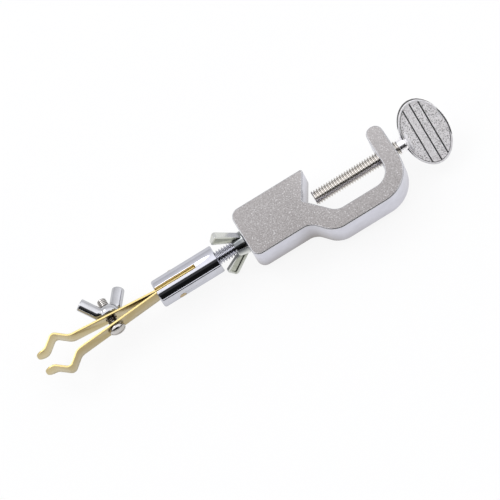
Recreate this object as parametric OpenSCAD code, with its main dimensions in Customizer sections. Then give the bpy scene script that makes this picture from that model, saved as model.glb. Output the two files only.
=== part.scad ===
// Thermometer clamp: a C-shaped casting that grips a stand rod with a thumbscrew,
// and a swivelling slotted rod that carries two spring brass strips as jaws.
// X runs along the clamp towards the thumbscrew, Y from the bar side to the wing
// nut of the jaws, Z up through the flat of the casting. The origin is where the
// thumbscrew's axis meets the bottom of the V, half way through the casting.

/* [Casting] */
// Thickness of the casting between its two flat faces
casting_t = 16; // [10:0.5:24]
// Length of the block from its end face to the bottom of the V
block_len = 29.4; // [24:0.2:40]
// Width of the block
block_w = 23.6; // [18:0.2:32]
// Radius of the block's two end corners
block_corner_r = 2.4; // [1:0.1:4]
// Distance of the bottom of the V below the screw axis
vee_drop = 0.9; // [0:0.1:2]
// Reach of the V's upper lip beyond the bottom of the V
lip_reach = 7.5; // [5:0.1:10]
// Radius on the nose of the lip
lip_r = 1; // [0.5:0.1:1.4]
// Distance along the bar from the bottom of the V to the foot of its lower flank
flank_foot = 10.6; // [9:0.1:13]
// Radius at the foot of the lower flank
flank_r = 6; // [3:0.5:8]
// Radius in the bottom of the V
vee_r = 0.5; // [0.3:0.1:1]
// Distance from the screw axis to the inner edge of the bar
bar_gap = 12.7; // [11:0.1:16]
// Width of the bar
bar_w = 8; // [5:0.1:10]
// Distance along the bar from the bottom of the V back to the knee under the block
knee_back = 4.2; // [3:0.1:6]
// Radius of the hollow at the knee
knee_r = 6; // [4:0.5:8]
// Distance along the bar from the bottom of the V to the elbow of its outer edge
elbow_ahead = 7.6; // [6:0.1:9]
// Radius of the elbow
elbow_r = 9; // [5:0.5:11]
// Opening from the bottom of the V to the arm
throat = 37.5; // [32:0.5:45]
// Thickness of the arm at the bar
arm_t = 8.1; // [6:0.1:10]
// Thickness of the arm at its tip
arm_tip_t = 7.5; // [6:0.1:10]
// Height of the arm above the screw axis
arm_top = 11.6; // [9:0.1:14]
// Radius on the two corners of the arm's tip
arm_tip_r = 3.3; // [1:0.1:3.6]
// Radius of the inner corner between bar and arm
inner_corner_r = 7.5; // [4:0.5:10]
// Radius of the outer corner between bar and arm
outer_corner_r = 15; // [9:0.5:18]

/* [Clamp screw] */
// Outer diameter of the screw's thread
screw_d = 6.35; // [5:0.05:7]
// Distance from the bottom of the V to the tip of the screw
screw_tip = 5.1; // [4.6:0.1:8]
// Chamfer on the screw's tip
screw_chamfer = 0.6; // [0.3:0.1:1]
// Thread that shows between the arm and the neck of the head
thread_show = 1.6; // [1.5:0.1:3]
// Diameter of the screw's end inside the head
spigot_d = 3; // [2.4:0.1:3.1]
// Length of the screw's end inside the head
spigot_len = 6; // [3:0.1:7]

/* [Thumb head] */
// Length of the oval along the screw
head_len = 20; // [16:0.5:26]
// Width of the oval across the screw
head_w = 29; // [22:0.5:36]
// Thickness of the oval at its rim
head_t = 4.8; // [4.7:0.1:7]
// Diameter of the neck
neck_d = 6.4; // [6.2:0.1:8]
// Length of the neck in front of the oval
neck_len = 3; // [2:0.1:5]
// Length over which the neck's round fades into the field
neck_fade = 3.5; // [2:0.1:5]
// Radius of the fillets between the neck and the oval
neck_fillet_r = 1.6; // [0.5:0.1:1.9]
// Thickness of the fillets
neck_fillet_t = 3; // [2:0.1:3.4]
// Width of the raised rim
rim_w = 0.9; // [0.6:0.1:2.5]
// Depth of the sunk field inside the rim
field_depth = 0.5; // [0.2:0.05:0.75]
// Width of the grooves across the field
groove_w = 0.6; // [0.3:0.05:1]
// Depth of the grooves below the field
groove_depth = 0.4; // [0.2:0.05:0.6]
// Distance between the grooves
groove_pitch = 3.85; // [3:0.05:5]
// Number of grooves
groove_count = 3; // [1:2:3]
// Turn of the head about the screw at rest
head_turn = 33; // [-90:1:90]

/* [Swivel rod] */
// Diameter of the swivel rod
rod_d = 12.7; // [11:0.1:16]
// Length of the swivel rod
rod_len = 29.8; // [26:0.2:40]
// Radius on the edge of the rod's mouth
rod_mouth_r = 1; // [0.3:0.1:1.5]
// Chamfer on the rod's shoulder
rod_chamfer = 0.4; // [0.2:0.1:1]
// Gap between the rod's shoulder and the casting
stud_show = 14; // [13.9:0.1:20]
// Outer diameter of the stud's thread
stud_d = 6.35; // [5:0.05:7]
// Length of the stud inside the casting
stud_grip = 12; // [8:0.5:14]
// Spare depth of the hole beyond the stud
stud_hole_spare = 1.5; // [0.5:0.1:3]
// Spare depth of the slot beyond the strips
slot_spare = 0.4; // [0.2:0.1:1]
// Distance of the cross pin from the rod's mouth
pin_back = 9.3; // [7:0.1:12]
// Diameter of the cross pin
pin_d = 3.2; // [2:0.1:4]
// Height of the cross pin's peened end above the rod, on the jaw nut's side
pin_proud = 0.3; // [0.1:0.05:0.6]
// Depth of the cross pin's other end below the top of the rod's round
pin_sunk = 0.2; // [0.1:0.05:0.5]

/* [Swivel wing nut] */
// Diameter of the nut at its seat
swivel_nut_base_d = 10.4; // [9.4:0.1:14]
// Diameter of the nut's boss at the top
swivel_nut_top_d = 8.6; // [8.2:0.1:10]
// Height of the nut's boss
swivel_nut_boss_h = 5.2; // [4:0.1:6]
// Height of the nut over its wings
swivel_nut_h = 13.6; // [12:0.1:13.6]
// Width over the wings
swivel_nut_span = 26.8; // [24:0.2:32]
// Distance between the inner corners of the wings' ends
swivel_nut_inner_span = 19; // [15:0.2:20]
// Height of the wings' outer corners
swivel_nut_outer_h = 10.1; // [8:0.1:11]
// Height at which the wings' inner edges leave the boss
swivel_nut_crotch_h = 6.6; // [6.1:0.1:8]
// Thickness of the wings along their outer edges
swivel_nut_outer_t = 3.4; // [2.6:0.1:4.4]
// Thickness of the wings along their inner edges
swivel_nut_inner_t = 1.4; // [1:0.1:2.4]
// Radius on the corners of the wings
swivel_nut_corner_r = 0.8; // [0.3:0.1:1.5]
// Turn of the nut about the stud at rest
swivel_nut_turn = 66; // [-90:1:90]

/* [Jaw strips] */
// Thickness of each strip
strip_t = 0.9; // [0.6:0.05:1.2]
// Width of each strip
strip_w = 9; // [8:0.1:11]
// Length of each strip inside the rod's slot
strip_root = 19.6; // [16:0.2:22]
// Distance from the rod's mouth to the neck of the jaws
neck_x = 41.5; // [38:0.1:46]
// Half of the gap between the strips at the neck
neck_half = 3.45; // [3.2:0.05:4.5]
// Distance from the neck to the widest point of the pocket
pocket_x = 6.1; // [5:0.1:8]
// Rise from the neck to the widest point of the pocket
pocket_rise = 5.1; // [4:0.1:7]
// Distance from the widest point to the start of the tips
pocket_out = 5.7; // [5:0.1:8]
// Half of the gap between the tips
tip_half = 3.8; // [3.7:0.05:5]
// Length of the flat tips
tip_len = 5.0; // [4:0.1:7]
// Inner radius of the bend at the neck
neck_r = 4; // [2:0.5:5]
// Inner radius of the bend at the widest point
pocket_r = 0.9; // [0.7:0.1:2]
// Inner radius of the bend at the tips
tip_r = 3; // [2:0.5:4]
// Radius on the corners of each strip's end
tip_corner_r = 3.8; // [1:0.1:3.9]

/* [Jaw screw] */
// Outer diameter of the jaw screw's thread
jaw_screw_d = 4.17; // [3:0.05:4.5]
// Distance of the jaw screw from the rod's mouth
jaw_screw_x = 22.2; // [18:0.1:26]
// Length of the jaw screw under its head
jaw_screw_len = 14.5; // [12:0.1:18]
// Diameter of the jaw screw's head
jaw_head_d = 7.4; // [6:0.1:9]
// Height of the jaw screw's head
jaw_head_h = 2.7; // [1.5:0.1:3.5]
// Height of the upright edge of the head
jaw_head_edge = 0.7; // [0.3:0.1:1.2]
// Width of the driver slot
driver_slot_w = 1.2; // [0.8:0.1:1.6]
// Depth of the driver slot
driver_slot_depth = 1.4; // [0.8:0.1:1.6]

/* [Jaw wing nut] */
// Diameter of the nut at its seat
jaw_nut_base_d = 8.6; // [8:0.1:10]
// Diameter of the nut's boss at its widest
jaw_nut_belly_d = 9.6; // [9:0.1:11]
// Diameter of the nut's boss at the top
jaw_nut_top_d = 7.4; // [6.6:0.1:8.6]
// Height of the nut's boss
jaw_nut_boss_h = 5.7; // [5:0.1:6.5]
// Height of the nut over its wings
jaw_nut_h = 12; // [10:0.1:14]
// Width over the wings
jaw_nut_span = 21.8; // [20:0.2:26]
// Diameter of the round wings
jaw_nut_bar_d = 4.7; // [4:0.1:5]
// Rise of the wings above the seat
jaw_nut_rise = 58; // [50:1:62]
// Chamfer on the ends of the wings
jaw_nut_bar_chamfer = 0.3; // [0.1:0.1:0.8]
// Turn of the nut about its screw at rest
jaw_nut_turn = 23; // [-90:1:90]

/* [Fits] */
// Clearance all round between a thread and its hole
thread_fit = 0.06; // [0.02:0.01:0.1]
// Clearance all round between the cross pin and its hole in the rod
pin_fit = 0.02; // [0.01:0.01:0.08]
// Gap between flat faces that bear on each other
seat_gap = 0.1; // [0.05:0.01:0.2]
// Clearance of each strip in the slot
strip_fit = 0.04; // [0.02:0.01:0.08]
// Clearance all round of the strips' holes over the screw and the pin
strip_hole_fit = 0.45; // [0.35:0.05:0.6]
// Gap between the fixed root of a strip and the part of it that bends
bend_gap = 0.12; // [0.1:0.01:0.3]

/* [Hidden] */
$fn = 48;
overrun = 1;
arc_steps = 8;

bar_out = bar_gap + bar_w;
arm_out = throat + arm_t;
neck_start = arm_out + thread_show;
head_start = neck_start + neck_len;
head_mid = head_start + head_len / 2;

shoulder_x = -block_len - stud_show;
mouth_x = shoulder_x - rod_len;
slot_w = 2 * (strip_t + 2 * strip_fit);
slot_depth = strip_root + slot_spare;
stud_len = stud_show + stud_grip;

splay = atan2(neck_half - strip_fit, neck_x);
jaw_seat = strip_fit + jaw_screw_x * tan(splay) + strip_t / cos(splay);
jaw_nut_seat = jaw_seat + jaw_nut_base_d / 2 * tan(splay) + seat_gap;
jaw_head_seat = jaw_seat + jaw_head_d / 2 * tan(splay) + seat_gap;

// Share of the boss's wall, from the hole outwards, at which the wings start
wing_start_share = 0.5;
// Share of the boss's height at which the swivel nut's wings leave it
wing_foot_share = 0.16;
// Shares of the boss's height between which the jaw nut's boss is widest
belly_low_share = 0.25;
belly_high_share = 0.6;
// Height of the jaw nut's round wings above its seat
bar_clear = 0.2;

// Bends of one strip seen from above: distance from the mouth, half gap, inner radius
strip_bends = [
    [bend_gap, strip_fit + bend_gap * tan(splay), 0],
    [neck_x, neck_half, neck_r],
    [neck_x + pocket_x, neck_half + pocket_rise, -pocket_r],
    [neck_x + pocket_x + pocket_out, tip_half, tip_r],
    [neck_x + pocket_x + pocket_out + tip_len, tip_half, 0]
];
strip_reach = strip_bends[len(strip_bends) - 1].x;

function unit(v) = v / norm(v);
function left_normal(v) = [-v.y, v.x] / norm(v);
function flat(lists) = [for (l = lists) each l];

// Points of a corner at b between a and c, rounded to radius r
function rounded_corner(a, b, c, r) =
    let (u = unit(a - b), w = unit(c - b), half = acos(u * w) / 2)
    r <= 0 || half > 89.9 ? [b] :
    let (
        centre = b + unit(u + w) * r / sin(half),
        first = b + u * r / tan(half) - centre,
        sweep = sign(w.x * u.y - w.y * u.x) * (180 - 2 * half),
        start = atan2(first.y, first.x)
    )
    [for (i = [0:arc_steps]) let (t = start + sweep * i / arc_steps) centre + r * [cos(t), sin(t)]];

// A closed outline of [x, y, radius] corners with each corner rounded
function rounded_outline(corners) =
    let (n = len(corners), p = [for (c = corners) [c.x, c.y]])
    flat([for (i = [0:n - 1])
        rounded_corner(p[(i + n - 1) % n], p[i], p[(i + 1) % n], corners[i].z)]);

// The corner of a bent strip's other face, at distance d to the left
function left_corner(p, i, d) =
    i == 0 ? p[0] + left_normal(p[1] - p[0]) * d :
    i == len(p) - 1 ? p[i] + left_normal(p[i] - p[i - 1]) * d :
    let (n1 = left_normal(p[i] - p[i - 1]), n2 = left_normal(p[i + 1] - p[i]))
    p[i] + d * (n1 + n2) / (1 + n1 * n2);

// Side view of one strip: its inner face out to the tip, then its outer face back
function strip_outline() =
    let (
        n = len(strip_bends),
        inner = [for (b = strip_bends) [b.x, b.y]],
        outer = [for (i = [0:n - 1]) left_corner(inner, i, strip_t)]
    )
    concat(
        [for (i = [0:n - 1]) let (r = strip_bends[i].z) [inner[i].x, inner[i].y, abs(r) + (r > 0 ? strip_t : 0)]],
        [for (i = [n - 1:-1:0]) let (r = strip_bends[i].z) [outer[i].x, outer[i].y, abs(r) + (r < 0 ? strip_t : 0)]]
    );

// Turns a shape that stands on Z so that it points along +X, -X, +Y or -Y
module to_plus_x() { rotate([0, 90, 0]) children(); }
module to_minus_x() { rotate([0, -90, 0]) children(); }
module to_plus_y() { rotate([-90, 0, 0]) children(); }

// A plate of a given thickness, centred on the middle plane
module plate(t) { translate([0, 0, -t / 2]) linear_extrude(t) children(); }

module casting_outline() {
    polygon(rounded_outline([
        [-block_len, -block_w / 2, block_corner_r],
        [-knee_back, -block_w / 2, knee_r],
        [elbow_ahead, -bar_out, elbow_r],
        [arm_out, -bar_out, outer_corner_r],
        [throat + arm_tip_t, arm_top, arm_tip_r],
        [throat, arm_top, arm_tip_r],
        [throat, -bar_gap, inner_corner_r],
        [flank_foot, -bar_gap, flank_r],
        [0, -vee_drop, vee_r],
        [lip_reach, block_w / 2, lip_r],
        [-block_len, block_w / 2, block_corner_r]
    ]));
}

module casting() {
    color("silver")
    difference() {
        plate(casting_t) casting_outline();
        // Threaded hole for the clamp screw
        translate([throat - overrun, 0, 0]) to_plus_x()
            cylinder(h = arm_t + 2 * overrun, d = screw_d + 2 * thread_fit);
        // Threaded hole for the swivel rod's stud
        translate([-block_len - overrun, 0, 0]) to_plus_x()
            cylinder(h = stud_grip + stud_hole_spare + overrun, d = stud_d + 2 * thread_fit);
    }
}

module clamp_screw() {
    shank_len = neck_start - seat_gap - screw_tip;
    color("lightslategray")
    translate([screw_tip, 0, 0]) to_plus_x()
    rotate_extrude() polygon([
        [0, 0],
        [screw_d / 2 - screw_chamfer, 0],
        [screw_d / 2, screw_chamfer],
        [screw_d / 2, shank_len],
        [spigot_d / 2, shank_len],
        [spigot_d / 2, shank_len + spigot_len],
        [0, shank_len + spigot_len]
    ]);
}

// An oval seen along Z, drawn in from the head's outline by a margin
module head_oval(margin) {
    polygon([for (a = [0:360 / (arc_steps * 8):359])
        [(head_len / 2 - margin) * cos(a), (head_w / 2 - margin) * sin(a)]]);
}

// Place along X of the oval's edge on the neck's side, at a distance y from the axis
function oval_edge(y) = head_mid - head_len / 2 * sqrt(1 - pow(2 * y / head_w, 2));

module neck_fillets() {
    near = neck_d / 2;
    far = near + 2 * neck_fillet_r;
    plate(neck_fillet_t) polygon(rounded_outline([
        [neck_start, -near, 0], [oval_edge(near), -near, neck_fillet_r], [oval_edge(far), -far, 0],
        [head_mid, 0, 0],
        [oval_edge(far), far, 0], [oval_edge(near), near, neck_fillet_r], [neck_start, near, 0]
    ]));
}

module thumb_head() {
    field_t = head_t - 2 * field_depth;
    color("gainsboro")
    rotate([head_turn, 0, 0])
    difference() {
        union() {
            translate([head_mid, 0, 0]) difference() {
                plate(head_t) head_oval(0);
                for (side = [-1, 1]) translate([0, 0, side * (field_t / 2 + overrun)])
                    plate(2 * overrun) head_oval(rim_w);
                // Grooves across the field, inside the rim
                intersection() {
                    plate(head_t) head_oval(rim_w);
                    for (side = [-1, 1]) for (i = [0:groove_count - 1])
                        translate([(i - (groove_count - 1) / 2) * groove_pitch, 0, side * field_t / 2])
                            cube([groove_w, head_w, 2 * groove_depth], center = true);
                }
            }
            neck_fillets();
            translate([neck_start, 0, 0]) to_plus_x() cylinder(h = neck_len, d = neck_d);
            translate([head_start, 0, 0]) to_plus_x()
                cylinder(h = neck_fade, d1 = neck_d, d2 = field_t);
        }
        translate([neck_start - overrun, 0, 0]) to_plus_x()
            cylinder(h = spigot_len + overrun + seat_gap, d = spigot_d + 2 * thread_fit);
    }
}

module swivel_rod() {
    color("whitesmoke")
    difference() {
        translate([mouth_x, 0, 0]) to_plus_x()
        rotate_extrude() polygon(concat(
            [[0, 0]],
            rounded_corner([0, 0], [rod_d / 2, 0], [rod_d / 2, rod_len], rod_mouth_r),
            [
                [rod_d / 2, rod_len - rod_chamfer],
                [rod_d / 2 - rod_chamfer, rod_len],
                [stud_d / 2, rod_len],
                [stud_d / 2, rod_len + stud_len],
                [0, rod_len + stud_len]
            ]
        ));
        // Sawn slot for the two strips
        translate([mouth_x - overrun, -slot_w / 2, -rod_d])
            cube([slot_depth + overrun, slot_w, 2 * rod_d]);
        translate([mouth_x + pin_back, -rod_d, 0]) to_plus_y()
            cylinder(h = 2 * rod_d, d = pin_d + 2 * pin_fit);
    }
}

module cross_pin() {
    sunk_end = rod_d / 2 - pin_sunk;
    peened_end = rod_d / 2 + pin_proud;
    color("peru")
    translate([mouth_x + pin_back, 0, 0]) to_plus_y()
    rotate_extrude() polygon(concat(
        [[0, -sunk_end], [pin_d / 2, -sunk_end]],
        rounded_corner([pin_d / 2, -sunk_end], [pin_d / 2, peened_end], [0, peened_end], pin_proud),
        [[0, peened_end]]
    ));
}

// Half of the forged nut's wings seen from the side, from the boss out to the tip
function forged_wing_outline() =
    let (
        inside = (stud_d + (swivel_nut_top_d - stud_d) * wing_start_share) / 2,
        foot_h = swivel_nut_boss_h * wing_foot_share
    )
    rounded_outline([
        [inside, foot_h, 0],
        [swivel_nut_base_d / 2, foot_h, 0],
        [swivel_nut_span / 2, swivel_nut_outer_h, swivel_nut_corner_r],
        [swivel_nut_inner_span / 2, swivel_nut_h, swivel_nut_corner_r],
        [(swivel_nut_top_d + swivel_nut_corner_r) / 2, swivel_nut_crotch_h, swivel_nut_corner_r],
        [inside, swivel_nut_boss_h, 0]
    ]);

// One wing of the forged nut, thick along its outer edge and thin along its inner edge
module forged_wing() {
    along = [(swivel_nut_span - swivel_nut_base_d) / 2, swivel_nut_outer_h];
    lean = atan2(along.x, along.y);
    width = norm([swivel_nut_span - swivel_nut_inner_span, swivel_nut_h - swivel_nut_outer_h] / 2);
    taper = (swivel_nut_outer_t - swivel_nut_inner_t) / 2;
    intersection() {
        rotate([90, 0, 0]) plate(swivel_nut_outer_t) polygon(forged_wing_outline());
        translate([swivel_nut_base_d / 2, 0, 0]) rotate([0, lean, 0])
        translate([0, 0, -swivel_nut_span]) linear_extrude(2 * swivel_nut_span)
            polygon([
                [0, -swivel_nut_outer_t / 2],
                [swivel_nut_base_d, -swivel_nut_outer_t / 2],
                [swivel_nut_base_d, swivel_nut_outer_t / 2],
                [0, swivel_nut_outer_t / 2],
                [-2 * width, swivel_nut_outer_t / 2 - taper],
                [-swivel_nut_span, swivel_nut_outer_t / 2 - taper],
                [-swivel_nut_span, taper - swivel_nut_outer_t / 2],
                [-2 * width, taper - swivel_nut_outer_t / 2]
            ]);
    }
}

// Forged wing nut on the stud, with its seat against the casting's end face
module swivel_wing_nut() {
    color("darkseagreen")
    translate([-block_len - seat_gap, 0, 0]) rotate([swivel_nut_turn, 0, 0])
    to_minus_x() rotate([0, 0, 90])
    difference() {
        union() {
            cylinder(h = swivel_nut_boss_h, d1 = swivel_nut_base_d, d2 = swivel_nut_top_d);
            for (side = [0, 180]) rotate([0, 0, side]) forged_wing();
        }
        translate([0, 0, -overrun])
            cylinder(h = swivel_nut_boss_h + 2 * overrun, d = stud_d + 2 * thread_fit);
    }
}

// One strip's straight end inside the slot, on the upper side
module strip_root() {
    difference() {
        translate([mouth_x, strip_fit, -strip_w / 2]) cube([strip_root, strip_t, strip_w]);
        translate([mouth_x + pin_back, -overrun, 0]) to_plus_y()
            cylinder(h = strip_t + 2 * overrun, d = pin_d + 2 * strip_hole_fit);
    }
}

// The part of one strip that bends, on the upper side, out to its tip
module strip_blade() {
    translate([mouth_x, 0, 0]) mirror([1, 0, 0])
    difference() {
        intersection() {
            plate(strip_w) polygon(rounded_outline(strip_outline()));
            rotate([90, 0, 0]) plate(2 * rod_d + 2 * pocket_rise) polygon(rounded_outline([
                [0, -strip_w / 2, 0],
                [strip_reach, -strip_w / 2, tip_corner_r],
                [strip_reach, strip_w / 2, tip_corner_r],
                [0, strip_w / 2, 0]
            ]));
        }
        translate([jaw_screw_x, -overrun, 0]) to_plus_y()
            cylinder(h = jaw_seat + 2 * overrun, d = jaw_screw_d + 2 * strip_hole_fit);
    }
}

module upper_strip_root() { color("khaki") strip_root(); }
module upper_strip() { color("khaki") strip_blade(); }
module lower_strip_root() { color("khaki") mirror([0, 1, 0]) strip_root(); }
module lower_strip() { color("khaki") mirror([0, 1, 0]) strip_blade(); }

module jaw_screw() {
    dome_h = jaw_head_h - jaw_head_edge;
    color("lightgray")
    translate([mouth_x - jaw_screw_x, -jaw_head_seat, 0]) to_plus_y()
    difference() {
        rotate_extrude() polygon(concat(
            [[0, jaw_screw_len], [0, -jaw_head_h]],
            [for (i = [1:arc_steps]) let (a = 90 - 90 * i / arc_steps)
                [jaw_head_d / 2 * cos(a), -jaw_head_edge - dome_h * sin(a)]],
            [
                [jaw_head_d / 2, 0],
                [jaw_screw_d / 2, 0],
                [jaw_screw_d / 2, jaw_screw_len - screw_chamfer],
                [jaw_screw_d / 2 - screw_chamfer, jaw_screw_len]
            ]
        ));
        translate([-driver_slot_w / 2, -jaw_head_d, -jaw_head_h - overrun])
            cube([driver_slot_w, 2 * jaw_head_d, driver_slot_depth + overrun]);
    }
}

// One round wing of the jaw nut, standing on Z with its rounded foot at the bottom
module round_wing() {
    r = jaw_nut_bar_d / 2;
    bar_len = (jaw_nut_h - r * cos(jaw_nut_rise) - r - bar_clear) / sin(jaw_nut_rise);
    tip = [jaw_nut_span / 2 - r * sin(jaw_nut_rise), 0, jaw_nut_h - r * cos(jaw_nut_rise)];
    translate(tip) rotate([0, 90 - jaw_nut_rise, 0]) translate([0, 0, -bar_len])
    rotate_extrude() polygon(concat(
        [for (i = [0:arc_steps]) let (a = 90 * i / arc_steps) [r * sin(a), -r * cos(a)]],
        [[r, bar_len - jaw_nut_bar_chamfer], [r - jaw_nut_bar_chamfer, bar_len], [0, bar_len]]
    ));
}

// U-shaped wing nut of the jaws: a barrel-shaped boss with two round wings
module jaw_wing_nut() {
    color("lightsteelblue")
    translate([mouth_x - jaw_screw_x, jaw_nut_seat, 0]) rotate([0, jaw_nut_turn, 0]) to_plus_y()
    difference() {
        union() {
            rotate_extrude() polygon([
                [0, 0],
                [jaw_nut_base_d / 2, 0],
                [jaw_nut_belly_d / 2, jaw_nut_boss_h * belly_low_share],
                [jaw_nut_belly_d / 2, jaw_nut_boss_h * belly_high_share],
                [jaw_nut_top_d / 2, jaw_nut_boss_h],
                [0, jaw_nut_boss_h]
            ]);
            for (side = [0, 180]) rotate([0, 0, side]) round_wing();
        }
        translate([0, 0, -overrun])
            cylinder(h = jaw_nut_h + 2 * overrun, d = jaw_screw_d + 2 * thread_fit);
    }
}

casting();
clamp_screw();
thumb_head();
swivel_rod();
cross_pin();
swivel_wing_nut();
upper_strip_root();
upper_strip();
lower_strip_root();
lower_strip();
jaw_screw();
jaw_wing_nut();
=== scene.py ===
# %% [markdown]
# # A thermometer clamp, modelled piece by piece
#
# The clamp is a C-shaped casting that grips a stand rod with a thumbscrew. A slotted
# rod turns in its end and carries two springy brass strips, and a wing nut draws the
# strips together round a thermometer. The CAD model fixes every size and every joint.
# Here each piece gets its real edges, threads and metal.

# %% Load the frame
import math
import bmesh
import bpy
from mathutils import Matrix, Vector


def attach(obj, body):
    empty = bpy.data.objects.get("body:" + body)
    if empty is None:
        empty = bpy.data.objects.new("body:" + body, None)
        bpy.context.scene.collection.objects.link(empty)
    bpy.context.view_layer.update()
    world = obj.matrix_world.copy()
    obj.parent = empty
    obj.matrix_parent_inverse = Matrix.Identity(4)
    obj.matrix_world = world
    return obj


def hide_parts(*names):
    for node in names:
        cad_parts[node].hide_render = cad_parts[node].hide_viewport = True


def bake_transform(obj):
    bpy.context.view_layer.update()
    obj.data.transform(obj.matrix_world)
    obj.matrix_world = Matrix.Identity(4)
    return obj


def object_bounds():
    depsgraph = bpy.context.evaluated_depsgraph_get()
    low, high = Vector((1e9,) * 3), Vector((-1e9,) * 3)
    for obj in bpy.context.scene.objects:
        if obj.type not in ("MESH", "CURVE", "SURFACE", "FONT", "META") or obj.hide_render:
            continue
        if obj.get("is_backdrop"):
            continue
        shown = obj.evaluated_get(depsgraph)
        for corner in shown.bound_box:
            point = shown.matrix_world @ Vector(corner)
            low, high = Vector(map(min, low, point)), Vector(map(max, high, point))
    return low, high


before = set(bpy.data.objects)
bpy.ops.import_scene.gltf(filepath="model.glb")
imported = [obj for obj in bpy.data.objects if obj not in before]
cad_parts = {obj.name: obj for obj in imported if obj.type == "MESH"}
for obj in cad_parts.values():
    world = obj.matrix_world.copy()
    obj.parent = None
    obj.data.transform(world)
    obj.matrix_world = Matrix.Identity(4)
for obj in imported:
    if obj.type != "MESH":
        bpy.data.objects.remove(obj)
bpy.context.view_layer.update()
MM = 0.001

# %% [markdown]
# ## Working by hand, in code
#
# Every piece starts from a primitive that an operator adds. Operators act on whatever
# is selected, so a few helpers select exactly one piece, or exactly the vertices, edges
# or faces at a place. They are the same moves that a modeller makes with the mouse.

# %% Select one piece, enter it and leave it
def only(piece):
    """Leaves edit mode and selects this piece and nothing else."""
    if bpy.context.mode != "OBJECT":
        bpy.ops.object.mode_set(mode="OBJECT")
    bpy.ops.object.select_all(action="DESELECT")
    piece.select_set(True)
    bpy.context.view_layer.objects.active = piece


def enter(piece):
    """Opens this piece in edit mode with nothing selected."""
    only(piece)
    bpy.ops.object.mode_set(mode="EDIT")
    bpy.ops.mesh.select_all(action="DESELECT")


def leave():
    bpy.ops.object.mode_set(mode="OBJECT")


def start(name, add, **settings):
    """Adds a primitive with everything else deselected, and names it."""
    if bpy.context.mode != "OBJECT":
        leave()
    bpy.ops.object.select_all(action="DESELECT")
    add(**settings)
    piece = bpy.context.active_object
    piece.name = piece.data.name = name
    bpy.ops.object.transform_apply(location=True, rotation=True, scale=True)
    return piece


print("selection helpers ready")

# %% Select by place
def pick(piece, kind, test):
    """In edit mode, selects the parts of one kind whose middle passes the test."""
    bpy.ops.mesh.select_mode(type=kind)
    bpy.ops.mesh.select_all(action="DESELECT")
    mesh = bmesh.from_edit_mesh(piece.data)
    parts = {"VERT": mesh.verts, "EDGE": mesh.edges, "FACE": mesh.faces}[kind]
    found = 0
    for part in parts:
        corners = [part.co] if kind == "VERT" else [v.co for v in part.verts]
        if test(sum(corners, Vector()) / len(corners), part):
            part.select_set(True)
            found += 1
    mesh.select_flush_mode()
    bmesh.update_edit_mesh(piece.data)
    return found


def place(piece, matrix):
    """Puts a piece where it belongs and keeps that place in its mesh."""
    only(piece)
    piece.matrix_world = matrix
    bpy.ops.object.transform_apply(location=True, rotation=True, scale=True)


def turn(degrees, axis):
    return Matrix.Rotation(math.radians(degrees), 4, axis)


print("picking helpers ready")

# %% Modifiers and joining
def modify(piece, kind, **settings):
    """Adds one modifier and applies it."""
    only(piece)
    modifier = piece.modifiers.new(kind.title(), kind)
    for setting, value in settings.items():
        setattr(modifier, setting, value)
    bpy.ops.object.modifier_apply(modifier=modifier.name)


def combine(piece, tool, operation):
    """Unites, cuts or intersects a piece with a tool that is then thrown away."""
    modify(piece, "BOOLEAN", operation=operation, object=tool, solver="EXACT")
    bpy.data.objects.remove(tool)


def merge_and_face_out(piece):
    """Merges doubled vertices and turns every face outwards."""
    enter(piece)
    bpy.ops.mesh.select_all(action="SELECT")
    bpy.ops.mesh.remove_doubles(threshold=1e-6)
    bpy.ops.mesh.normals_make_consistent(inside=False)
    leave()


def soften(piece, width, segments=3, angle=40):
    """Rounds every edge sharper than an angle, as tumbling or polishing does."""
    modify(piece, "BEVEL", width=width, segments=segments, limit_method="ANGLE",
           angle_limit=math.radians(angle), use_clamp_overlap=True)


def smooth(piece, angle=35, flat_faces=False):
    """Smooth shading across soft edges. Flat faces can be kept truly flat."""
    only(piece)
    bpy.ops.object.shade_smooth_by_angle(angle=math.radians(angle))
    if flat_faces:
        modify(piece, "WEIGHTED_NORMAL", keep_sharp=True, weight=80)


def report(piece):
    size = [round(d / MM, 1) for d in piece.dimensions]
    print(piece.name, "is", size, "mm with", len(piece.data.polygons), "faces")


print("modifier helpers ready")

# %% [markdown]
# ## Turned shapes and threads
#
# Rods, bosses and pins come off a lathe, so their outline is drawn once beside the
# axis and spun round it. A thread is the same idea with a forward step: one tooth of
# its profile goes round the axis while it moves along, which the Screw modifier does.

# %% Draw an outline by extruding a point
def outline(name, points):
    """A chain of edges through points in the XZ plane, extruded from a single corner."""
    piece = start(name, bpy.ops.mesh.primitive_plane_add, size=MM)
    enter(piece)
    pick(piece, "VERT", lambda at, v: v.index > 0)
    bpy.ops.mesh.delete(type="VERT")
    bpy.ops.mesh.select_all(action="SELECT")
    last = bmesh.from_edit_mesh(piece.data).verts[:][0].co.copy()
    goal = Vector((points[0][0], 0, points[0][1]))
    bpy.ops.transform.translate(value=goal - last)
    for x, z in points[1:]:
        step = Vector((x, 0, z)) - goal
        bpy.ops.mesh.extrude_region_move(TRANSFORM_OT_translate={"value": step})
        goal += step
    leave()
    return piece


def turned(name, points, steps=64):
    """A closed turned shape round Z from points given as radius and height in mm."""
    piece = outline(name, [(r * MM, h * MM) for r, h in points])
    enter(piece)
    bpy.ops.mesh.select_all(action="SELECT")
    bpy.ops.mesh.spin(steps=steps, angle=2 * math.pi, center=(0, 0, 0), axis=(0, 0, 1))
    leave()
    merge_and_face_out(piece)
    return piece


print("lathe ready")

# %% Cut a thread on a blank
TOOTH_DEPTH = 0.6           # depth of a tooth as a share of the pitch
BLANK_SPARE = 0.03          # the blank stands this far, in mm, outside the crests


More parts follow.
